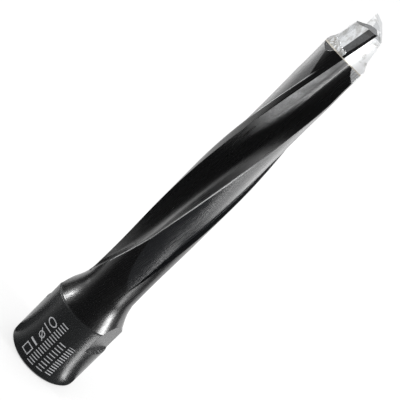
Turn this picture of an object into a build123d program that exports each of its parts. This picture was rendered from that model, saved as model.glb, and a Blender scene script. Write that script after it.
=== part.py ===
from build123d import *
import os
from math import asin, cos, degrees, radians, sin, sqrt, tan

os.makedirs("parts", exist_ok=True)

# A slot cutter for a loose tenon joiner, in millimetres. It stands on the back face of its collar, whose
# centre is the origin. +Z runs along the axis to the tip, and the two spanner flats face +X and -X.
# Seen from the tip it turns anticlockwise to cut, and both its flutes are right-hand helices.

# Overall sizes
total_length = 86.0
head_diameter = 10.0
stem_diameter = 9.7

# Collar with two spanner flats, and the flare that leads into the stem
collar_diameter = 14.0
collar_length = 14.0
back_edge_chamfer = 0.4
front_edge_chamfer = 0.25
flat_spacing = 12.0
flat_start = 9.4
flare_length = 6.2
flare_start_lean = 0.45
flare_start_fullness = 0.9
flare_end_fullness = 1.2

# Bore in the back of the collar, as wide as the thread that is cut in it
bore_diameter = 8.0
bore_depth = 11.0
bore_mouth_chamfer = 0.4
drill_point_angle = 118.0

# Flutes: two alike, half a turn apart
flute_lead = 168.0
flute_width_angle = 80.0
web_diameter = 3.9
web_angle = 35.0
lip_offset = 1.25
rake_wall_depth = 2.3
heel_diameter = 9.2
heel_wall_lean = 12.0
flute_wheel_radius = 50.0
flute_run_out_length = 16.0
flute_overlap = 0.6

# Body clearance ground behind the margin of each land: a hollow of one radius, deepest at an angle behind
# the leading edge that grows from the neck to the head
clearance_diameter = 8.08
clearance_curve_radius = 6.0
clearance_setback = 2.6
clearance_ramp_length = 11.2
deepest_angle_at_neck = 20.0
deepest_angle = 61.0
deepest_angle_at_head = 98.0
clearance_turn_length = 7.2
margin_angle_at_neck = 30.0
margin_angle_at_head = 12.0

# Carbide head, brazed on at a shallow V
head_length = 8.0
joint_angle = 15.6
joint_ridge_angle = 12.5
braze_thickness = 0.2

# End of the head: each lip has a narrow relief and a steeper back, a notch clears the centre between the
# lips, and a gash in front of each lip runs into the heel of the other land
lip_length = 2.8
end_relief_angle = 14.0
end_relief_width = 1.85
end_back_angle = 36.0
centre_notch_depth = 1.3
centre_notch_floor = 1.0
gash_depth = 3.2
gash_wall_angle = 47.0

# Facets ground on each land of the head, flat and straight. Their corners at the tip are given along the
# lip and ahead of the centre; towards the joint the grind leans and then ramps out of the land
margin_end_along = 4.94
margin_end_ahead = 0.75
first_facet_along = 4.24
first_facet_ahead = -0.41
second_facet_along = 2.36
second_facet_ahead = -1.64
third_facet_along = 0.84
third_facet_ahead = -2.28
last_facet_along = -2.6
last_facet_ahead = -2.42
facet_lean_ahead = 0.17
facet_lean_along = -0.03
facet_length = 5.9
facet_ramp_length = 4.9
facet_ramp_growth = 0.42

# Where the leading edge stands at the tip, anticlockwise from +X
tip_lip_angle = -56.5

# How the twisted cuts are made: section spacing, how far they pass the tip, and how far each laps the next
fine_spacing = 2.5
coarse_spacing = 6.0
overrun = 1.0
overlap_angle = 5.0

collar_radius = collar_diameter / 2
stem_radius = stem_diameter / 2
head_radius = head_diameter / 2
neck_start = collar_length + flare_length
flute_start = neck_start - flute_overlap
flute_full = flute_start + flute_run_out_length
clearance_start = neck_start + clearance_setback
joint_height = total_length - head_length
turn_start = joint_height - clearance_turn_length
land_angle = 180 - flute_width_angle
lip_direction = tip_lip_angle - degrees(asin(lip_offset / head_radius))
lip_inner_end = sqrt(head_radius**2 - lip_offset**2) - lip_length


def edge_angle(z):
    """Angle of a leading edge at height z, in degrees."""
    return tip_lip_angle + (z - total_length) * 360 / flute_lead


def at(radius, angle):
    """Point of the section at a radius and an angle ahead of the leading edge."""
    return (radius * cos(radians(angle)), radius * sin(radians(angle)))


def twisted(wires_at, heights):
    """Solid through the sections given by wires_at(z), each turned with the flutes."""
    wires = [Location((0, 0, z), (0, 0, edge_angle(z))) * wires_at(z) for z in heights]
    return Solid.make_loft(wires)


def spaced(first, last, step):
    """Heights from first to last, evenly spaced and about step apart."""
    count = max(1, round((last - first) / step))
    return [first + (last - first) * i / count for i in range(count + 1)]


def both_sides(shape):
    """The shape and its like half a turn round the axis."""
    return [shape, Rot(0, 0, 180) * shape]


def turned_blank():
    """Collar, flare and stem as they leave the lathe, bored from the back."""
    with BuildSketch(Plane.XZ) as half:
        with BuildLine():
            corner = (collar_radius - front_edge_chamfer, collar_length)
            Polyline(
                (stem_radius, neck_start),
                (stem_radius, total_length),
                (0, total_length),
                (0, 0),
                (collar_radius - back_edge_chamfer, 0),
                (collar_radius, back_edge_chamfer),
                (collar_radius, collar_length - front_edge_chamfer),
                corner,
            )
            Spline(
                corner,
                (stem_radius, neck_start),
                tangents=[(-flare_start_lean, 1), (0, 1)],
                tangent_scalars=[flare_start_fullness, flare_end_fullness],
            )
        make_face()
    blank = revolve(half.sketch, Axis.Z, 360)
    drill = Cylinder(bore_diameter / 2, bore_depth, align=(Align.CENTER, Align.CENTER, Align.MIN))
    point_height = bore_diameter / 2 / tan(radians(drill_point_angle / 2))
    point = Pos(0, 0, bore_depth) * Cone(
        bore_diameter / 2, 0, point_height, align=(Align.CENTER, Align.CENTER, Align.MIN)
    )
    mouth = Cone(
        bore_diameter / 2 + bore_mouth_chamfer,
        bore_diameter / 2,
        bore_mouth_chamfer,
        align=(Align.CENTER, Align.CENTER, Align.MIN),
    )
    return blank - drill - point - mouth


def flat_cutter():
    """What a mill takes off one side of the collar to leave a spanner flat."""
    side = Box(
        collar_radius,
        2 * collar_diameter,
        collar_length + flare_length,
        align=(Align.MIN, Align.CENTER, Align.MIN),
    )
    return Pos(flat_spacing / 2, 0, flat_start) * side


def flute_section(z):
    """Outline of one flute: rake wall, hollow floor and back wall, closed outside the blank."""
    rake = Vector(*at(stem_radius, 0))
    lean = lip_offset / head_radius
    inward = Vector(-sqrt(1 - lean**2), lean)
    root = rake + inward * rake_wall_depth
    floor = Vector(*at(web_diameter / 2, web_angle))
    heel = Vector(*at(heel_diameter / 2, flute_width_angle))
    outward = Vector(*at(1, flute_width_angle + heel_wall_lean))
    far_heel = heel + outward * head_radius
    far_rake = rake - inward * head_radius
    corner = Vector(*at(2 * head_diameter, flute_width_angle / 2))
    lift = 0.0
    if z < flute_full:
        lift = flute_wheel_radius - sqrt(flute_wheel_radius**2 - (flute_full - z) ** 2)
    with BuildSketch() as section:
        with BuildLine():
            Line(far_rake, root)
            Spline(root, floor, heel, tangents=[inward, outward])
            Polyline(heel, far_heel, corner, far_rake)
        make_face()
    shift = Vector(*at(lift, flute_width_angle / 2))
    return Pos(shift.X, shift.Y, 0) * section.sketch.face().outer_wire()


def flute_cutter():
    """What the wheel takes out for one flute, rising out of the stem near the collar."""
    run_out = spaced(flute_start - flute_overlap, flute_full, fine_spacing)
    heights = run_out + spaced(flute_full, total_length + overrun, coarse_spacing)[1:]
    return twisted(flute_section, heights)


def deepest(z):
    """Angle behind the leading edge where the clearance is deepest at height z."""
    if z > turn_start:
        turned = (z - turn_start) / clearance_turn_length
        return deepest_angle + (deepest_angle_at_head - deepest_angle) * turned
    along = (turn_start - z) / (turn_start - clearance_start)
    return deepest_angle - (deepest_angle - deepest_angle_at_neck) * along**2


def clearance_section(z):
    """Outline of what is ground off one land behind its margin."""
    along = min(max((z - clearance_start) / (turn_start - clearance_start), 0), 1)
    margin = margin_angle_at_neck + (margin_angle_at_head - margin_angle_at_neck) * along
    depth = stem_radius - clearance_diameter / 2
    ramp_end = clearance_start + clearance_ramp_length
    lift = depth * max(0.0, ramp_end - z) / clearance_ramp_length
    inset = clearance_curve_radius - clearance_diameter / 2 - lift

    def ground(angle):
        away = radians(deepest(z) - angle)
        root = sqrt(clearance_curve_radius**2 - (inset * sin(away)) ** 2)
        return at(root - inset * cos(away), -angle)

    end = land_angle + overlap_angle
    with BuildSketch() as section:
        with BuildLine():
            ThreePointArc(ground(margin), ground((margin + end) / 2), ground(end))
            Polyline(
                ground(end),
                at(head_diameter, -end),
                at(2 * head_diameter, -(margin + end) / 2),
                at(head_diameter, -margin),
                ground(margin),
            )
        make_face()
    return section.sketch.face().outer_wire()


def clearance_cutter():
    """What is ground off the back of one land."""
    ramp_end = clearance_start + clearance_ramp_length
    heights = spaced(clearance_start - overrun, ramp_end, fine_spacing)
    heights += spaced(ramp_end, turn_start, coarse_spacing)[1:]
    heights += spaced(turn_start, total_length + overrun, fine_spacing)[1:]
    return twisted(clearance_section, heights)


def facet_section(z):
    """Outline of what is ground off one land of the head, in the frame of the lips."""
    drop = total_length - z
    grow = 1 + facet_ramp_growth * max(0.0, drop - facet_length) / facet_ramp_length
    corners = [
        (margin_end_along, margin_end_ahead),
        (first_facet_along, first_facet_ahead),
        (second_facet_along, second_facet_ahead),
        (third_facet_along, third_facet_ahead),
        (last_facet_along, last_facet_ahead),
    ]
    ground = [
        ((x - facet_lean_along * drop) * grow, (y - facet_lean_ahead * drop) * grow) for x, y in corners
    ]
    outside = [
        (2 * last_facet_along, -head_diameter),
        (head_diameter, -head_diameter),
        (head_diameter, ground[0][1] * head_diameter / ground[0][0]),
    ]
    return Pos(0, 0, z) * Wire.make_polygon(ground + outside, close=True)


def facet_cutter():
    """What is ground off one land of the head to leave its flat facets."""
    facet_start = total_length - facet_length
    heights = spaced(facet_start - facet_ramp_length, facet_start, fine_spacing)
    heights += [total_length + overrun]
    cutter = Solid.make_loft([facet_section(z) for z in heights], ruled=True)
    return Rot(0, 0, lip_direction) * cutter


def end_cutter():
    """What is ground off the end behind one lip: a narrow relief, then a steeper back."""
    relief_end = lip_offset - end_relief_width
    relief_drop = end_relief_width * tan(radians(end_relief_angle))
    back_end = relief_end - head_diameter
    back_drop = relief_drop + head_diameter * tan(radians(end_back_angle))
    above = total_length + head_length
    behind_lip = Plane.YZ * Polyline(
        (lip_offset, total_length),
        (relief_end, total_length - relief_drop),
        (back_end, total_length - back_drop),
        (back_end, above),
        (lip_offset, above),
        close=True,
    )
    return extrude(make_face(behind_lip.edges()), head_diameter, dir=(1, 0, 0))


def centre_notch():
    """The notch that clears the centre between the inner ends of the two lips."""
    floor = total_length - centre_notch_depth
    above = total_length + head_length
    outline = Plane.XZ * Polyline(
        (-centre_notch_floor / 2, floor),
        (centre_notch_floor / 2, floor),
        (lip_inner_end, total_length),
        (lip_inner_end, above),
        (-lip_inner_end, above),
        (-lip_inner_end, total_length),
        close=True,
    )
    return extrude(make_face(outline.edges()), head_diameter, both=True)


def gash_cutter():
    """The gash in front of the lip on the -X side, which takes the heel off the other land."""
    floor = total_length - gash_depth
    above = total_length + head_length
    outline = Plane.XZ * Polyline(
        (lip_inner_end - gash_depth * tan(radians(gash_wall_angle)), floor),
        (lip_inner_end, total_length),
        (lip_inner_end, above),
        (-head_diameter, above),
        (-head_diameter, floor),
        close=True,
    )
    return Pos(0, -lip_offset, 0) * extrude(make_face(outline.edges()), head_diameter, dir=(0, -1, 0))


def below_joint(lift):
    """Everything under the V of the brazed joint, raised by lift."""
    reach = collar_diameter
    low = joint_height + lift
    high = low + reach * tan(radians(joint_angle))
    outline = Plane.YZ * Polyline(
        (-reach, 0), (reach, 0), (reach, high), (0, low), (-reach, high), close=True
    )
    wedge = extrude(make_face(outline.edges()), reach, both=True)
    return Rot(0, 0, joint_ridge_angle) * wedge


def fluted(blank):
    """The blank with both flutes cut and both lands cleared and ground to facets."""
    for cutter in [flute_cutter(), clearance_cutter(), facet_cutter()]:
        for tool in both_sides(cutter):
            blank = blank - tool
    return blank


def cutter_body():
    """Collar and fluted stem, up to the seat of the head."""
    blank = turned_blank()
    for side in both_sides(flat_cutter()):
        blank = blank - side
    return fluted(blank & below_joint(0))


def braze_joint():
    """The thin seam of braze between stem and head."""
    blank = Cylinder(stem_radius, total_length, align=(Align.CENTER, Align.CENTER, Align.MIN))
    return fluted(blank & below_joint(braze_thickness) - below_joint(0))


def carbide_head():
    """The head: fluted and ground on its lands with the stem, then ground on its end."""
    blank = Cylinder(head_radius, total_length, align=(Align.CENTER, Align.CENTER, Align.MIN))
    head = fluted(blank - below_joint(braze_thickness))
    for cutter in both_sides(end_cutter()) + both_sides(gash_cutter()) + [centre_notch()]:
        head = head - Rot(0, 0, lip_direction) * cutter
    return head


pieces = {
    "cutter_body": cutter_body(),
    "braze_joint": braze_joint(),
    "carbide_head": carbide_head(),
}
for name, shape in pieces.items():
    export_step(shape, f"parts/{name}.step")
    print(name, len(shape.solids()), round(shape.volume, 2))
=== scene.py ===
from functools import partial, reduce
from math import cos, degrees, pi, radians, sin
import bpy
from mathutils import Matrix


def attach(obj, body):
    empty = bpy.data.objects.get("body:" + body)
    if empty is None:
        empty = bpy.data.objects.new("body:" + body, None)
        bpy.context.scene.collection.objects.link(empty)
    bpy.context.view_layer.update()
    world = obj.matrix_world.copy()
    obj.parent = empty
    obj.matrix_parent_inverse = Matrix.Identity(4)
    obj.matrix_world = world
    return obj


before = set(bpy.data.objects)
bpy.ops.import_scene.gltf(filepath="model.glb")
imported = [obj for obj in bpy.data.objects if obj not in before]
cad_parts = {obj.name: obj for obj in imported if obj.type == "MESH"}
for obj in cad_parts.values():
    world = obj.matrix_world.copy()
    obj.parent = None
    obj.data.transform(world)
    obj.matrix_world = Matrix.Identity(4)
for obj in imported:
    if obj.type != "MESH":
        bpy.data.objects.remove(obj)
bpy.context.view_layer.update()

from types import SimpleNamespace

import bmesh
import bpy
from mathutils import Matrix, Vector

bl_info = {
    "name": "Loose Tenon Cutter",
    "version": (1, 0, 0),
    "blender": (4, 5, 0),
    "location": "3D View > Sidebar > Cutter",
    "description": "Finishes and stages a brazed slot cutter for a loose tenon joiner",
    "category": "Object",
}

MM = 0.001

# Nodes that are used often, each as its kind and the setting that says what it works out
(
    ADD, SUBTRACT, MULTIPLY, DIVIDE, MULTIPLY_ADD, MAXIMUM,
    ABSOLUTE, SQUARE_ROOT, WRAP, ARCTAN2, LESS_THAN, GREATER_THAN,
) = (
    ("ShaderNodeMath", "operation", operation) for operation in (
        "ADD", "SUBTRACT", "MULTIPLY", "DIVIDE", "MULTIPLY_ADD", "MAXIMUM",
        "ABSOLUTE", "SQRT", "WRAP", "ARCTAN2", "LESS_THAN", "GREATER_THAN",
    )
)
SMOOTH_RAMP = ("ShaderNodeMapRange", "interpolation_type", "SMOOTHSTEP")
COLOUR_MIX = ("ShaderNodeMix", "data_type", "RGBA")


def linear(hex_colour):
    """An sRGB hex colour such as '#8a8d90' as linear red, green, blue and alpha."""
    channels = [int(hex_colour[i:i + 2], 16) / 255 for i in (1, 3, 5)]
    return [c / 12.92 if c <= 0.04045 else ((c + 0.055) / 1.055) ** 2.4 for c in channels] + [1.0]


def node(tree, kind, *inputs, **settings):
    """Adds a node and returns it.

    The inputs fill its sockets in order. A setting names a property of the node, an input socket, with
    underscores for spaces, or an input socket by number, as in in_6. What a socket is given is a value, the
    output it is linked to, or a node, which stands for its first output in use."""
    if isinstance(kind, tuple):
        kind, choice, value = kind
        settings = {choice: value, **settings}
    made = tree.nodes.new(kind)
    sockets = dict(enumerate(inputs))
    for name, value in settings.items():
        if hasattr(made, name):
            setattr(made, name, value)
        else:
            sockets[int(name[3:]) if name.startswith("in_") else name.replace("_", " ")] = value
    for socket, value in sockets.items():
        if isinstance(value, bpy.types.Node):
            value = next(output for output in value.outputs if output.enabled)
        if isinstance(value, bpy.types.NodeSocket):
            tree.links.new(value, made.inputs[socket])
        else:
            made.inputs[socket].default_value = value
    return made


def joined(tree, kind, *values):
    """Passes several values through nodes of one kind that take two, one after another."""
    return reduce(partial(node, tree, kind), values)


def distance(tree, first, second):
    """How far apart two places are whose offsets along two axes are given."""
    squares = (node(tree, MULTIPLY, offset, offset) for offset in (first, second))
    return node(tree, SQUARE_ROOT, node(tree, ADD, *squares))


def uneven(tree, value, pattern, amount):
    """A value that a pattern from 0 to 1 moves up and down, by half the amount either way."""
    return node(tree, ADD, value, node(tree, MULTIPLY, node(tree, SUBTRACT, pattern, 0.5), amount))


def new_finish(name):
    """An empty node material of that name, its tree, and node() bound to the tree."""
    material = bpy.data.materials.new(name)
    material.use_nodes = True
    tree = material.node_tree
    tree.nodes.clear()
    return material, tree, partial(node, tree)


def turned_coordinates(tree, settings):
    """Where a point is on the cutter: its Object coordinates, x, radius and height in mm, angle in degrees
    from +X, and angle behind the nearer leading edge, from 0 to 180 degrees."""
    add = partial(node, tree)
    place = add("ShaderNodeTexCoord").outputs["Object"]
    x, y, z = (add(MULTIPLY, part, 1 / MM) for part in add("ShaderNodeSeparateXYZ", place).outputs)
    turned = add(MULTIPLY, add(ARCTAN2, y, x), 180 / pi)
    edge = add(MULTIPLY_ADD, z, 360 * MM / settings.flute_lead, degrees(settings.edge_angle_at_base))
    behind = add(WRAP, add(SUBTRACT, edge, turned), 180.0, 0.0)
    radius = distance(tree, x, y)
    return SimpleNamespace(place=place, x=x, radius=radius, angle=turned, z=z, behind=behind)


def marking_mask(tree, at, settings):
    """White where the collar is etched: a square, a bar, the diameter sign, the number 10 and three rows of
    short bars. All sizes are in mm along the collar and round it, from the middle of the marking."""
    add = partial(node, tree)
    collar_radius, line = settings.collar_radius / MM, settings.marking_line / MM
    turned = add(WRAP, add(SUBTRACT, at.angle, degrees(settings.marking_angle)), 180.0, -180.0)
    around = add(MULTIPLY, turned, pi / 180 * collar_radius)
    on_collar = add(GREATER_THAN, at.radius, collar_radius - 0.1)

    def inside(value, low, high):
        return add(MULTIPLY, add(GREATER_THAN, value, low), add(LESS_THAN, value, high))

    def box(low, high, left, right):
        return add(MULTIPLY, inside(at.z, low, high), inside(around, left, right))

    def ring(middle, middle_around, half_length, half_width, inner):
        along = add(DIVIDE, add(SUBTRACT, at.z, middle), half_length)
        sideways = add(DIVIDE, add(SUBTRACT, around, middle_around), half_width)
        return inside(distance(tree, along, sideways), inner, 1.0)

    sign, sign_around = 6.6, -2.85
    off_slash = add(ABSOLUTE, add(ADD, add(SUBTRACT, at.z, sign), add(SUBTRACT, around, sign_around)))
    marks = [
        add(SUBTRACT, box(1.7, 3.5, -3.9, -2.1), box(1.7 + line, 3.5 - line, -3.9 + line, -2.1 - line)),
        box(4.3, 4.3 + 2 * line, -3.9, -2.1),
        ring(sign, sign_around, 0.65, 0.7, 0.72),
        add(MULTIPLY, box(5.7, 7.5, -3.7, -2.0), add(LESS_THAN, off_slash, 0.6 * line)),
        box(8.1, 8.1 + line, -4.1, -1.9),
        ring(9.7, -3.0, 0.7, 1.1, 0.76),
    ]
    for low, high, left, right, pitch in (
        (1.2, 11.7, -1.6, -0.15, 0.62),
        (1.2, 8.8, 0.45, 1.8, 0.74),
        (1.4, 8.8, 2.3, 3.5, 0.58),
    ):
        stroke = add(LESS_THAN, add(WRAP, at.z, pitch, 0.0), line)
        marks.append(add(MULTIPLY, box(low, high, left, right), stroke))
    return add(MULTIPLY, joined(tree, MAXIMUM, *marks), on_collar)


def steel_zones(tree, at, settings):
    """Masks of the zones of the body that are finished in different ways.

    Heights and radii are in mm, and angles in degrees behind the leading edge, here and in the mask of the
    bare steel and painted highlights."""
    add, all_of = partial(node, tree), partial(joined, tree, MULTIPLY)
    touching = 0.03  # a point this near to a face is on it
    fade = 0.2  # on either side of the collar's front edge
    collar_length, stem_radius = settings.collar_length / MM, settings.stem_radius / MM
    flat_reach, flat_start = settings.flat_reach / MM, settings.flat_start / MM

    on_stem = add(SMOOTH_RAMP, at.z, collar_length - fade, collar_length + fade)
    on_land = add(LESS_THAN, at.behind, degrees(settings.land_width))
    clearance = all_of(on_land, on_stem, add(LESS_THAN, at.radius, stem_radius - touching))
    off_axis = add(ABSOLUTE, at.x)
    flat = all_of(
        add(LESS_THAN, off_axis, flat_reach + touching),
        add(GREATER_THAN, off_axis, flat_reach - touching),
        add(GREATER_THAN, at.z, flat_start - touching),
    )
    at_flat_start = add(LESS_THAN, add(ABSOLUTE, add(SUBTRACT, at.z, flat_start)), touching)
    past_flat = add(GREATER_THAN, off_axis, flat_reach + touching)
    flute_grows = add(SMOOTH_RAMP, at.z, 26.0, 40.0)
    # Chips scuff the flute in front of the lips, over the last third of the tool
    before_lip, near_head = add(SMOOTH_RAMP, at.behind, 135.0, 150.0), add(SMOOTH_RAMP, at.z, 56.0, 64.0)
    return SimpleNamespace(
        stem=on_stem,
        collar=add(SUBTRACT, 1.0, on_stem),
        ground=add(MAXIMUM, clearance, flat),
        end_wall=add(MULTIPLY, at_flat_start, past_flat),
        flute=add(MULTIPLY, add(SUBTRACT, 1.0, on_land), flute_grows),
        scuffed=add(MULTIPLY, before_lip, near_head),
    )


def bare_steel_and_highlight_mask(tree, at, zones, grain, cloud, rim, settings):
    """How far the coat is painted as bare steel: where the braze was dressed, on the ragged end walls of
    the spanner flats, along the heel and the step of the margin as partly edge wear and partly a painted
    edge highlight, and in front of the leading edge as a painted highlight."""
    add, all_of = partial(node, tree), partial(joined, tree, MULTIPLY)
    from_heel = add(ABSOLUTE, add(SUBTRACT, at.behind, degrees(settings.land_width)))

    # Up the stem the heel stays at one angle, and its line is drawn by angle, outside the flute's floor
    half_line, floor_radius = 0.9, 3.8
    straight = all_of(
        add(LESS_THAN, from_heel, half_line), add(GREATER_THAN, at.radius, floor_radius),
        add(SMOOTH_RAMP, at.z, 30.0, 38.0),
    )
    # Near the flare the heel wanders, and the line follows its rounded rim, within a reach that narrows
    # from 47.5 degrees at the base by 1.5 degrees per mm, so that no other rim is drawn
    rim_reach = add(MAXIMUM, add(MULTIPLY_ADD, at.z, -1.5, 47.5), 2.5)
    wandering = all_of(
        rim, add(LESS_THAN, from_heel, rim_reach),
        add(SMOOTH_RAMP, at.z, 20.5, 21.5), add(SMOOTH_RAMP, at.z, 33.0, 36.0, 1.0, 0.0),
    )
    # Along the heel the coat is painted bare: partly edge wear, partly a painted highlight on the rounded
    # edge
    heel = all_of(add(MAXIMUM, straight, wandering), add(SMOOTH_RAMP, at.z, 48.0, 58.0, 1.0, 0.1))

    # The step behind the margin nears the leading edge from 37.85 degrees at the base by 0.365 per mm
    from_step = add(ABSOLUTE, add(SUBTRACT, at.behind, add(MULTIPLY_ADD, at.z, -0.365, 37.85)))
    # Along the step the coat is painted bare: partly edge wear, partly a painted highlight on the step's
    # edge
    step = all_of(
        add(LESS_THAN, from_step, 1.0),
        add(SMOOTH_RAMP, at.z, 60.0, 63.0, 0.0, 0.9), add(SMOOTH_RAMP, at.z, 72.0, 75.0, 1.0, 0.0),
    )

    # The dressed braze starts about 1.8 mm below the joint, and higher up away from the heel
    height = uneven(tree, add(MULTIPLY_ADD, from_heel, -0.14, at.z), grain, 0.9)
    joint = settings.joint_height / MM
    dressed = all_of(
        add(SMOOTH_RAMP, height, joint - 1.9, joint - 1.7), add(SMOOTH_RAMP, grain, 0.35, 0.6, 0.55, 1.0),
    )

    # A painted highlight: the coat is painted paler in front of the leading edge, more so towards the head
    painted_lip_highlight = all_of(
        add(SMOOTH_RAMP, at.behind, 158.0, 174.0), add(SMOOTH_RAMP, at.z, 60.0, 70.0),
        add(SMOOTH_RAMP, cloud, 0.3, 0.6, 0.1, 0.35), add(SMOOTH_RAMP, grain, 0.3, 0.7, 0.5, 1.2),
    )
    chipped = add(MULTIPLY, zones.end_wall, add(SMOOTH_RAMP, grain, 0.56, 0.62, 0.0, 0.6))
    return joined(tree, MAXIMUM, dressed, chipped, heel, step, painted_lip_highlight)


def black_oxide_tool_steel(settings):
    """Tool steel with a black oxide coat. The eye sees a near-black satin skin that turns pale where it is
    seen edge-on, fine rings left by the lathe on the collar, drag lines along the ground flutes, a grainy,
    greyer clearance, scuffs in front of the lips, and bare bright metal where the head was brazed and
    ground. Along the heel and the margin's step the bare metal is partly edge wear and partly a painted
    edge highlight, and in front of the lips a painted highlight is laid on in the bare metal's colour."""
    material, tree, add = new_finish("Black oxide tool steel")
    at = turned_coordinates(tree, settings)
    zones = steel_zones(tree, at, settings)
    marks = marking_mask(tree, at, settings)

    # Grain of the ground clearance, about 0.15 mm, and rings of the lathe tool on the collar, 0.12 mm
    # apart, both drawn at 0.25 mm so that they show
    grain = add("ShaderNodeTexNoise", at.place, Scale=1 / (0.25 * MM), Detail=3.0, Roughness=0.6)
    squeezed = add("ShaderNodeMapping", at.place, vector_type="POINT", Scale=(0.02, 0.02, 1.0))
    rings = add("ShaderNodeTexNoise", squeezed, Scale=1 / (0.25 * MM), Detail=2.0)
    # Patches of the coat about 4 mm across, and scuffs of chips about 0.7 mm across
    cloud = add("ShaderNodeTexNoise", at.place, Scale=1 / (4 * MM), Detail=2.0)
    scuffs = add("ShaderNodeTexNoise", at.place, Scale=1 / (0.7 * MM), Detail=2.0)
    # Drag lines of the grinding wheel, about 2 degrees apart and 15 mm long, along the twist of the flutes
    along_twist = add(MULTIPLY, at.z, 0.04)
    untwisted = add("ShaderNodeCombineXYZ", add(MULTIPLY, at.behind, 0.35), at.radius, along_twist)
    drag = add("ShaderNodeTexNoise", untwisted, Scale=1.6, Detail=3.0)

    # The edges look rounded, and a rim is where a wider rounding turns away from the face
    rounded = add("ShaderNodeBevel", samples=8, Radius=settings.edge_rounding)
    widely_rounded = add("ShaderNodeBevel", samples=8, Radius=settings.rim_width)
    face = add("ShaderNodeNewGeometry").outputs["Normal"]
    facing = add("ShaderNodeVectorMath", widely_rounded, face, operation="DOT_PRODUCT")
    rim = add(SMOOTH_RAMP, facing, 0.97, 0.998, 1.0, 0.0)
    bright = bare_steel_and_highlight_mask(tree, at, zones, grain, cloud, rim, settings)

    tint = add(COLOUR_MIX, zones.ground, in_6=settings.coat_colour, in_7=settings.ground_colour)
    tint = add(COLOUR_MIX, zones.stem, in_6=settings.collar_colour, in_7=tint)
    tint = add(COLOUR_MIX, marks, in_6=tint, in_7=settings.marking_colour)
    # Bare steel, and the painted edge and lip highlights, take the bare steel colour
    tint = add(COLOUR_MIX, bright, in_6=tint, in_7=settings.bare_steel_and_highlight_colour)

    flare = settings.flare_roughness
    rough = add(MULTIPLY_ADD, zones.stem, flare - settings.collar_roughness, settings.collar_roughness)
    rough = add(MULTIPLY_ADD, zones.ground, settings.ground_roughness - flare, rough)
    rough = add(MULTIPLY_ADD, zones.flute, settings.flute_roughness - flare, rough)
    rough = add(MULTIPLY_ADD, zones.scuffed, 0.08, rough)
    rough = uneven(tree, uneven(tree, rough, cloud, 0.12), drag, 0.3)

    # Each pattern and how deep it is cut, in mm
    grainy = joined(
        tree, MAXIMUM, zones.ground, add(MULTIPLY, zones.scuffed, 0.8), add(MULTIPLY, zones.collar, 0.7),
    )
    depths = (
        (rings, add(MULTIPLY, zones.collar, 0.004)),
        (grain, add(MULTIPLY, grainy, 0.035)),
        (drag, add(MULTIPLY, zones.stem, add(MULTIPLY_ADD, zones.scuffed, -0.005, 0.006))),
        (scuffs, add(MULTIPLY, zones.scuffed, 0.05)),
        (marks, -0.01),
    )
    height = joined(tree, ADD, *(add(MULTIPLY, pattern, depth) for pattern, depth in depths))
    bump = add("ShaderNodeBump", Height=height, Normal=rounded, Strength=1.0, Distance=MM)
    shader = add(
        "ShaderNodeBsdfPrincipled", Base_Color=tint, Metallic=add(MULTIPLY, bright, 0.5), Roughness=rough,
        Normal=bump, IOR=settings.coat_index,
    )
    add("ShaderNodeOutputMaterial", shader)
    return material


def silver_braze(settings):
    """Silver brazing alloy. The eye sees a thin, slightly warm seam with a soft, uneven shine."""
    material, _, add = new_finish("Silver braze")
    place = add("ShaderNodeTexCoord").outputs["Object"]
    # Ripples of the set alloy, about 0.4 mm across
    ripple = add("ShaderNodeTexNoise", place, Scale=1 / (0.4 * MM), Detail=3.0)
    shader = add(
        "ShaderNodeBsdfPrincipled",
        Base_Color=add(COLOUR_MIX, ripple, in_6=settings.braze_colour, in_7=settings.braze_dull_colour),
        Roughness=add(MULTIPLY_ADD, ripple, 0.3, 0.25),
        Normal=add("ShaderNodeBump", Height=ripple, Strength=0.6, Distance=0.05 * MM),
        Metallic=0.3,
    )
    add("ShaderNodeOutputMaterial", shader)
    return material


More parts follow.
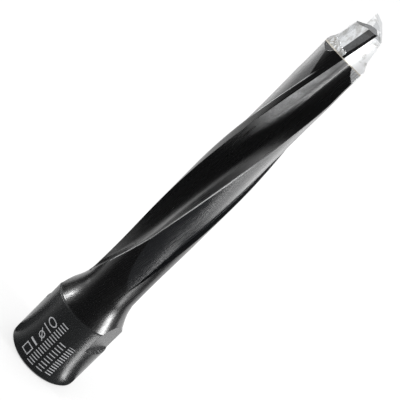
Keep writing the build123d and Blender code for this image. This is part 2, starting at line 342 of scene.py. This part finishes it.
def ground_tungsten_carbide(settings):
    """Tungsten carbide ground with a fine diamond wheel. The eye sees a hard, bright grey metal with crisp
    flat facets and faint lines along the grind, a mottled, dull zone where the braze was dressed, and matt
    cutting faces painted near white, partly their own pale finish and partly a painted highlight."""
    material, tree, add = new_finish("Ground tungsten carbide")
    at = turned_coordinates(tree, settings)
    # Mottle of the dressed braze, about 0.45 mm across, and smudges of it, about 1.6 mm across
    mottle = add("ShaderNodeTexNoise", at.place, Scale=1 / (0.45 * MM), Detail=4.0, Roughness=0.7)
    smudge = add("ShaderNodeTexNoise", at.place, Scale=1 / (1.6 * MM), Detail=3.0)
    # Grinding lines 0.02 mm apart, drawn at 0.12 mm so that they show; they run along the head
    squeezed = add("ShaderNodeMapping", at.place, vector_type="POINT", Scale=(1.0, 1.0, 0.03))
    lines = add("ShaderNodeTexNoise", squeezed, Scale=1 / (0.12 * MM), Detail=2.0)

    land_start = 6.0  # degrees behind the leading edge
    land_end = degrees(settings.land_width)
    on_land = add(MULTIPLY, add(GREATER_THAN, at.behind, land_start), add(LESS_THAN, at.behind, land_end))
    in_flute = add(GREATER_THAN, at.behind, land_end)
    # The dressed zone reaches up the lands to between 2.1 and 2.5 mm above the joint
    joint = settings.joint_height / MM
    height = uneven(tree, at.z, mottle, 1.0)
    dressed = add(MULTIPLY, add(SMOOTH_RAMP, height, joint + 2.1, joint + 2.5, 1.0, 0.0), on_land)
    spots = add(MULTIPLY, dressed, add(SMOOTH_RAMP, mottle, 0.42, 0.6))

    tint = add(COLOUR_MIX, spots, in_6=settings.carbide_colour, in_7=settings.dressed_colour)
    # The cutting faces in the flutes are painted near white and less metallic: partly their pale matt
    # finish, partly a painted highlight
    tint = add(COLOUR_MIX, in_flute, in_6=tint, in_7=settings.face_and_highlight_colour)
    smudged = add(SMOOTH_RAMP, smudge, 0.5, 0.66, 0.0, 0.5)
    tint = add(COLOUR_MIX, smudged, in_6=tint, in_7=settings.dressed_colour)

    rough = add(MULTIPLY_ADD, dressed, 0.2, settings.carbide_roughness)
    rough = uneven(tree, add(MULTIPLY_ADD, in_flute, 0.2, rough), lines, 0.12)
    dull = add(MAXIMUM, add(MULTIPLY, in_flute, 0.6), add(MULTIPLY, dressed, 0.35))
    # Depths of the grinding lines and of the mottle, in mm
    relief = add(ADD, add(MULTIPLY, lines, 0.0012), joined(tree, MULTIPLY, mottle, dressed, 0.22))
    shader = add(
        "ShaderNodeBsdfPrincipled", Base_Color=tint, Metallic=add(SUBTRACT, 1.0, dull), Roughness=rough,
        Normal=add("ShaderNodeBump", Height=relief, Strength=1.0, Distance=MM),
    )
    add("ShaderNodeOutputMaterial", shader)
    return material


def seen_directly_or_mirrored(tree):
    """1 for what the camera sees, also in metal, and 0 for what lights the object."""
    rays = node(tree, "ShaderNodeLightPath").outputs
    kinds = ("Is Camera Ray", "Is Glossy Ray", "Is Transmission Ray")
    return joined(tree, MAXIMUM, *(rays[kind] for kind in kinds))


def painted_floor(settings):
    """Matt white paint. The eye sees an even pale sheet with the soft, faint shadow of the tool on it."""
    material, tree, add = new_finish("Matt white paint")
    place = add("ShaderNodeTexCoord").outputs["Object"]
    # Tooth of the rolled paint, about 2 mm across
    tooth = add("ShaderNodeTexNoise", place, Scale=1 / (2 * MM), Detail=2.0)
    paint = add(
        "ShaderNodeBsdfPrincipled", Base_Color=settings.floor_colour, Roughness=0.9, Specular_IOR_Level=0.2,
        Normal=add("ShaderNodeBump", Height=tooth, Strength=0.02, Distance=0.02 * MM),
    )
    # Part of what is seen is plain white, so that the shadow stays and is faint
    white = add("ShaderNodeEmission", (1.0, 1.0, 1.0, 1.0), 1.0)
    part = add(MULTIPLY, seen_directly_or_mirrored(tree), settings.plain_white)
    add("ShaderNodeOutputMaterial", add("ShaderNodeMixShader", part, paint, white))
    return material


def flocked_card(name, sides=None):
    """Black flocked card. The eye sees it only as the dark front of the tool. With sides, the settings that
    say where, the card thins out towards them, so that the dark has soft edges."""
    material, tree, add = new_finish(name)
    place = add("ShaderNodeTexCoord").outputs["Object"]
    # Tufts of the flock, under 1 mm wide, drawn at 3 mm so that they show in the reflection
    flock = add("ShaderNodeTexNoise", place, Scale=1 / (3 * MM), Detail=2.0)
    darkest, palest = 0.01, 0.02
    tone = add("ShaderNodeMapRange", flock, 0.0, 1.0, darkest, palest)
    card = add("ShaderNodeBsdfPrincipled", Base_Color=tone, Roughness=1.0, Specular_IOR_Level=0.0)
    if sides:
        turned = angle_from_front(tree, place, sides, pi)
        start, end = sides.card_start, sides.card_end
        cover = add(
            MULTIPLY, add(SMOOTH_RAMP, turned, start, start + sides.card_fade_left),
            add(SMOOTH_RAMP, turned, end - sides.card_fade_right, end, 1.0, 0.0),
        )
        card = add("ShaderNodeMixShader", cover, add("ShaderNodeBsdfTransparent"), card)
    add("ShaderNodeOutputMaterial", card)
    return material


def grey_card(settings):
    """Matt grey card. The eye sees it only in the head's facets, darker towards the back."""
    material, tree, add = new_finish("Matt grey card")
    place = add("ShaderNodeTexCoord").outputs["Object"]
    back, side = radians(-165), radians(-112)
    back_tone, side_tone = 0.3, 0.8
    turned = angle_from_front(tree, place, settings, 0.0)
    tone = add(SMOOTH_RAMP, turned, back, side, back_tone, side_tone)
    # Fibres of the card, under 1 mm wide, drawn at 5 mm so that they show in the reflection
    fibre = add("ShaderNodeTexNoise", place, Scale=1 / (5 * MM), Detail=2.0)
    tone = add(MULTIPLY, tone, add(MULTIPLY_ADD, fibre, 0.1, 0.95))
    card = add("ShaderNodeBsdfPrincipled", Base_Color=tone, Roughness=1.0, Specular_IOR_Level=0.0)
    add("ShaderNodeOutputMaterial", card)
    return material


def lit_opal_acrylic(name, level):
    """Opal acrylic lit from below. The eye sees a soft white glow that is almost even."""
    material, _, add = new_finish("Lit opal acrylic, " + name)
    place = add("ShaderNodeTexCoord").outputs["Object"]
    # Clouds in the sheet, about 40 mm across
    cloud = add("ShaderNodeTexNoise", place, Scale=1 / (40 * MM), Detail=1.0)
    strength = add(MULTIPLY_ADD, cloud, 0.2 * level, 0.9 * level)
    add("ShaderNodeOutputMaterial", add("ShaderNodeEmission", (1.0, 1.0, 1.0, 1.0), strength))
    return material


def angle_from_front(tree, place, settings, highest):
    """Angle round the axis from the front of the stage, in radians, of the turn that ends at highest."""
    x, y, _ = node(tree, "ShaderNodeSeparateXYZ", place).outputs
    turned = node(tree, ADD, node(tree, ARCTAN2, y, x), pi / 2 - settings.camera_azimuth)
    return node(tree, WRAP, turned, highest, highest - 2 * pi)


def coat(piece, material):
    """Gives every slot of a piece the material."""
    if not piece.data.materials:
        piece.data.materials.append(material)
    for slot in piece.material_slots:
        slot.material = material


def piece_from(shape, name, material):
    """Turns a bmesh into a piece of that name and material at the origin."""
    mesh = bpy.data.meshes.new(name)
    shape.to_mesh(mesh)
    shape.free()
    piece = bpy.data.objects.new(name, mesh)
    bpy.context.scene.collection.objects.link(piece)
    coat(piece, material)
    return piece


def fan_card(settings, name, start, end, profile, material):
    """A card spun round the axis from a profile of radii and heights in mm, seen only in reflections. It
    runs from start to end, in degrees to the right of the front."""
    left = settings.camera_azimuth - pi / 2 + radians(start)
    shape = bmesh.new()
    corners = [
        shape.verts.new((radius * MM * cos(left), radius * MM * sin(left), height * MM))
        for radius, height in profile
    ]
    lines = [shape.edges.new(pair) for pair in zip(corners, corners[1:])]
    bmesh.ops.spin(
        shape, geom=lines, cent=(0, 0, 0), axis=(0, 0, 1), dvec=(0, 0, 0),
        angle=radians(end - start), steps=32, use_duplicate=False,
    )
    bmesh.ops.recalc_face_normals(shape, faces=shape.faces)
    card = piece_from(shape, name, material)
    card.visible_camera = card.visible_diffuse = card.visible_shadow = False


def black_cards(settings):
    """A black card round the foot, folded up and over behind the camera, and low flags on either side of
    the foot, which darken the flare's flanks and not the stem."""
    fan_card(
        settings, "black_card", -160, 160, ((7.05, 0.2), (450, 0.2), (450, 400), (130, 550)),
        flocked_card("Black flocked card", sides=settings),
    )
    flag = flocked_card("Black flocked flag")
    for name, start, end, profile in (
        ("left_foot_flag", -106, -76, ((7.2, 0.3), (30, 0.3))),
        ("left_flag", -119, -88, ((30.2, 0.3), (30.2, 19))),
        ("right_foot_flag", 76, 101, ((7.2, 0.3), (30, 0.3))),
        ("right_flag", 91, 117, ((30, 0.3), (55, 0.3), (55, 20))),
    ):
        fan_card(settings, name, start, end, profile, flag)


def lit_cards(settings):
    """Lit cards: narrow ones on the floor that carry the right strip light on down to the tool's foot, wide
    ones behind either side and a near one on the left, which the stem reflects, and a low far one."""
    strip = degrees(settings.strip_azimuth)
    for name, start, end, near, far, level in (
        ("foot_card", strip - 18, strip - 6, (9, 0.4), (30, 0.4), settings.lit_card),
        ("near_card", strip - 12, strip + 3, (30, 0.4), (53, 0.4), 0.85 * settings.lit_card),
        ("far_card", strip - 8, strip + 8, (130, 0.4), (300, 0.4), 1.5 * settings.lit_card),
        ("right_card", 90, 152, (100, 0.4), (400, 0.4), settings.wide_card),
        ("left_card", -152, -112, (180, 0.4), (400, 0.4), settings.wide_card),
        ("left_near_card", -122, -80, (64, 0.4), (100, 0.4), settings.wide_card),
        ("left_far_card", -116, -100, (900, 0.6), (900, 36), 1.3),
    ):
        fan_card(settings, name, start, end, (near, far), lit_opal_acrylic(name, level))


def white_surroundings(scene, settings):
    """A plain world that is seen as white and lights everything evenly."""
    world = bpy.data.worlds.new("white_surroundings")
    world.use_nodes = True
    tree = world.node_tree
    tree.nodes.clear()
    seen_level, lit_level = 1.0, settings.surroundings
    strength = node(tree, MULTIPLY_ADD, seen_directly_or_mirrored(tree), seen_level - lit_level, lit_level)
    light = node(tree, "ShaderNodeBackground", (1.0, 1.0, 1.0, 1.0), strength)
    node(tree, "ShaderNodeOutputWorld", light)
    scene.world = world


def direction(azimuth, elevation):
    """Unit vector to an azimuth, from -Y towards +X, and an elevation."""
    return Vector((sin(azimuth) * cos(elevation), -cos(azimuth) * cos(elevation), sin(elevation)))


def soft_lights(settings):
    """Softboxes that face the middle of the tool: a strip on either side and one high up behind it.

    Angles are from the front and above the floor, sizes in metres, and a level of 1 is as bright as white
    paper."""
    middle = Vector((0, 0, 0.045))
    for name, azimuth, elevation, away, width, height, level in (
        ("left_strip", radians(-81), radians(10), 0.3, 0.06, 0.07, 27.0),
        ("right_strip", settings.strip_azimuth, radians(7), 0.3, 0.084, 0.14, 20.0),
        ("top_softbox", radians(165), radians(62), 1.1, 0.6, 0.6, 2.0),
    ):
        data = bpy.data.lights.new(name, "AREA")
        data.shape, data.size, data.size_y = "RECTANGLE", width, height
        data.energy = level * pi * width * height
        lamp = bpy.data.objects.new(name, data)
        back = direction(settings.camera_azimuth + azimuth, elevation)
        lamp.location = middle + back * away
        lamp.rotation_euler = back.to_track_quat("Z", "Y").to_euler()
        bpy.context.scene.collection.objects.link(lamp)


def point_camera(scene, settings):
    """Puts the camera where the photographer's stood."""
    azimuth, roll = settings.camera_azimuth, settings.camera_roll
    back = direction(azimuth, settings.camera_elevation)
    right = Vector((cos(azimuth), sin(azimuth), 0))
    up = back.cross(right)
    rolled_up = up * cos(roll) - right * sin(roll)
    rolled_right = right * cos(roll) + up * sin(roll)
    data = bpy.data.cameras.new("camera")
    data.sensor_width = 36.0
    data.lens = settings.camera_distance / settings.frame_width * data.sensor_width
    data.clip_start = 0.01
    camera = bpy.data.objects.new("camera", data)
    place = Vector((0, 0, settings.target_height)) + back * settings.camera_distance
    turn = Matrix((rolled_right, rolled_up, back)).transposed().to_4x4()
    camera.matrix_world = Matrix.Translation(place) @ turn
    scene.collection.objects.link(camera)
    scene.camera = camera
    scene.view_settings.view_transform = "Standard"


def length(name, description, size):
    """A length, given in mm."""
    return bpy.props.FloatProperty(
        name=name, description=description, default=size * MM, unit="LENGTH", min=0.0, precision=5,
    )


def angle(name, description, size):
    """An angle, given in degrees."""
    return bpy.props.FloatProperty(
        name=name, description=description, default=radians(size), subtype="ANGLE",
    )


def share(name, description, size):
    """A share or a roughness, from 0 to 1."""
    return bpy.props.FloatProperty(
        name=name, description=description, default=size, subtype="FACTOR", min=0.0, max=1.0,
    )


def brightness(name, description, size):
    """A brightness, where 1 is white."""
    return bpy.props.FloatProperty(name=name, description=description, default=size, min=0.0, max=10.0)


def colour(name, description, value):
    """A colour, given as sRGB hex."""
    return bpy.props.FloatVectorProperty(
        name=name, description=description, default=linear(value), subtype="COLOR", size=4,
        min=0.0, max=1.0,
    )


class SteelSettings(bpy.types.PropertyGroup):
    """Sizes, colours and roughness of the steel body, the braze and the carbide head."""

    flute_lead: length("Flute lead", "Length of one full turn of the flutes", 168.0)
    edge_angle_at_base: angle(
        "Edge angle at base", "Where the leading edge's line would meet the base, from +X",
        -56.5 - 360 * 86 / 168,  # it ends at -56.5 degrees, 86 mm up
    )
    land_width: angle("Land width", "From the leading edge back to the heel", 100.0)
    stem_radius: length("Stem radius", "Radius of the stem over its margins", 4.85)
    collar_radius: length("Collar radius", "Radius of the collar", 7.0)
    collar_length: length("Collar length", "Height of the collar's front edge", 14.0)
    joint_height: length("Joint height", "Height of the brazed joint on the axis", 78.0)
    flat_reach: length("Flat reach", "From the axis to a spanner flat", 6.0)
    flat_start: length("Flat start", "Height where the spanner flats start", 9.4)
    marking_angle: angle("Marking angle", "Middle of the etched marking, from +X", -72.5)
    marking_line: length("Marking line", "Width of an etched stroke", 0.2)
    edge_rounding: length("Edge rounding", "How far the edges look rounded", 0.09)
    rim_width: length("Rim width", "Width of the bare line along the heel near the flare", 0.26)

    coat_colour: colour("Coat colour", "Black oxide", "#0e0e0f")
    collar_colour: colour("Collar colour", "Black oxide on the turned collar", "#1d1e1f")
    ground_colour: colour("Clearance colour", "Coat over the rough ground clearance", "#191a1c")
    marking_colour: colour("Marking colour", "Etched marking", "#9a9b9d")
    # Also the colour of the painted edge and lip highlights
    bare_steel_and_highlight_colour: colour("Bare steel colour", "Rubbed and ground steel", "#c9cacb")
    coat_index: bpy.props.FloatProperty(
        name="Coat index", description="Refractive index of the oxide coat", default=1.7, min=1.0, max=3.0,
    )
    collar_roughness: share("Collar roughness", "Roughness of the turned collar", 0.27)
    flare_roughness: share("Flare roughness", "Roughness of the turned flare", 0.26)
    flute_roughness: share("Flute roughness", "Roughness of the ground flutes", 0.29)
    ground_roughness: share("Clearance roughness", "Roughness of the ground clearance", 0.25)

    carbide_colour: colour("Carbide colour", "Ground tungsten carbide", "#d2d4d6")
    # Near white, partly a painted highlight on the cutting faces
    face_and_highlight_colour: colour("Cutting face colour", "Matt lapped carbide in the flutes", "#f4f5f6")
    dressed_colour: colour("Dressed braze colour", "Braze and carbide dressed together", "#8f8c86")
    carbide_roughness: share("Carbide roughness", "Roughness of the ground facets", 0.2)
    braze_colour: colour("Braze colour", "Silver braze", "#cfcabf")
    braze_dull_colour: colour("Dull braze colour", "Silver braze where it is dull", "#a9a397")


class ThreadSettings(bpy.types.PropertyGroup):
    """Sizes of the thread in the bore."""

    pitch: length("Pitch", "Distance from ridge to ridge", 1.0)
    outer_radius: length("Outer radius", "Radius at the foot of the ridge, just inside the bore wall", 4.01)
    inner_radius: length("Inner radius", "Radius at the crest of the ridge", 3.46)
    first_height: length("First height", "Where the ridge starts above the back face", 1.0)
    last_height: length("Last height", "Where the ridge ends above the back face", 10.4)


class StageSettings(bpy.types.PropertyGroup):
    """Camera, floor, cards and lights."""

    camera_distance: length("Camera distance", "From the camera to the point it looks at", 295.66)
    camera_azimuth: angle("Camera azimuth", "From -Y towards +X; it is also the stage's front", 17.5)
    camera_elevation: angle("Camera elevation", "Above the floor", 23.2)
    camera_roll: angle("Camera roll", "Turn that lays the tool on a slant across the picture", 45.25)
    target_height: length("Target height", "Height on the axis that the camera looks at", 42.82)
    frame_width: length("Frame width", "Width that the picture covers at the target", 67.434)
    card_start: angle("Card start", "Left side of the black card, from the front", -100.0)
    card_end: angle("Card end", "Right side of the black card, from the front", 96.0)
    card_fade_left: angle("Left fade", "Angle over which the card's left side thins out", 50.0)
    card_fade_right: angle("Right fade", "Angle over which the card's right side thins out", 25.0)
    lit_card: brightness("Narrow cards", "Brightness of the narrow cards, where 1 is white", 6.0)
    wide_card: brightness("Wide cards", "Brightness of the wide cards, where 1 is white", 2.5)
    strip_azimuth: angle("Right strip", "Angle of the right strip light, from the front", 77.0)
    surroundings: share("Surroundings", "How brightly the surroundings light the object", 0.88)
    floor_colour: colour("Floor colour", "Matt paint of the floor", "#f6f6f6")
    plain_white: share("Plain white", "Part of what is seen of the floor that is plain white", 0.65)


class OBJECT_OT_coated_steel(bpy.types.Operator):
    """Finish the turned and fluted body as black oxide tool steel"""

    bl_idname = "object.coated_steel"
    bl_label = "Coated Steel Body"

    def execute(self, context):
        coat(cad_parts["cutter_body"], black_oxide_tool_steel(context.scene.cutter_steel))
        return {"FINISHED"}


class OBJECT_OT_brazed_head(bpy.types.Operator):
    """Finish the braze seam and the ground carbide head"""

    bl_idname = "object.brazed_head"
    bl_label = "Brazed Carbide Head"

    def execute(self, context):
        settings = context.scene.cutter_steel
        coat(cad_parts["braze_joint"], silver_braze(settings))
        coat(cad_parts["carbide_head"], ground_tungsten_carbide(settings))
        return {"FINISHED"}


class OBJECT_OT_bore_thread(bpy.types.Operator):
    """Wind the ridge of the thread round the wall of the bore"""

    bl_idname = "object.bore_thread"
    bl_label = "Bore Thread"

    def execute(self, context):
        settings = context.scene.cutter_thread
        steps_per_turn = 48
        # Half the ridge's thickness along the axis, at the bore wall and at the crest
        half_foot, half_crest = 0.43 * settings.pitch, 0.07 * settings.pitch
        start = settings.first_height + half_foot
        rise = settings.last_height - settings.first_height - 2 * half_foot
        turns = rise / settings.pitch
        steps = round(turns * steps_per_turn)
        shape = bmesh.new()
        corners = [
            shape.verts.new((radius, 0, start + up)) for radius, up in (
                (settings.outer_radius, -half_foot), (settings.inner_radius, -half_crest),
                (settings.inner_radius, half_crest), (settings.outer_radius, half_foot),
            )
        ]
        bmesh.ops.spin(
            shape, geom=[shape.faces.new(corners)], cent=(0, 0, 0), axis=(0, 0, 1),
            dvec=(0, 0, rise / steps), angle=turns * 2 * pi, steps=steps, use_duplicate=False,
        )
        bmesh.ops.recalc_face_normals(shape, faces=shape.faces)
        thread = piece_from(shape, "bore_thread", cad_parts["cutter_body"].material_slots[0].material)
        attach(thread, "root")
        return {"FINISHED"}


class OBJECT_OT_cutter_stage(bpy.types.Operator):
    """Set up the floor, the cards, the soft lights and the camera"""

    bl_idname = "object.cutter_stage"
    bl_label = "Studio Stage"

    def execute(self, context):
        settings = context.scene.cutter_stage
        reach = 3.0  # from the tool to the floor's sides
        shape = bmesh.new()
        bmesh.ops.create_grid(shape, x_segments=1, y_segments=1, size=reach)
        floor = piece_from(shape, "floor", painted_floor(settings))
        black_cards(settings)
        lit_cards(settings)
        fan_card(settings, "grey_card", -179, -112, ((450, 0.6), (450, 300)), grey_card(settings))
        white_surroundings(context.scene, settings)
        soft_lights(settings)
        point_camera(context.scene, settings)
        return {"FINISHED"}


class VIEW3D_PT_cutter(bpy.types.Panel):
    """Lists the pieces of the cutter and their settings"""

    bl_idname = "VIEW3D_PT_cutter"
    bl_label = "Loose Tenon Cutter"
    bl_space_type = "VIEW_3D"
    bl_region_type = "UI"
    bl_category = "Cutter"

    def draw(self, context):
        for operator in OPERATORS:
            self.layout.operator(operator.bl_idname)
        for group in GROUPS:
            settings = getattr(context.scene, group)
            column = self.layout.column(align=True)
            for name in settings.bl_rna.properties.keys():
                if name not in ("rna_type", "name"):
                    column.prop(settings, name)


GROUPS = {"cutter_steel": SteelSettings, "cutter_thread": ThreadSettings, "cutter_stage": StageSettings}
OPERATORS = (OBJECT_OT_coated_steel, OBJECT_OT_brazed_head, OBJECT_OT_bore_thread, OBJECT_OT_cutter_stage)


def register():
    for kind in (*GROUPS.values(), *OPERATORS, VIEW3D_PT_cutter):
        bpy.utils.register_class(kind)
    for name, group in GROUPS.items():
        setattr(bpy.types.Scene, name, bpy.props.PointerProperty(type=group))


def unregister():
    for name in GROUPS:
        delattr(bpy.types.Scene, name)
    for kind in (VIEW3D_PT_cutter, *reversed(OPERATORS), *GROUPS.values()):
        bpy.utils.unregister_class(kind)


def main():
    register()
    for operator in OPERATORS:
        area, name = operator.bl_idname.split(".")
        getattr(getattr(bpy.ops, area), name)()


if __name__ == "__main__":
    main()
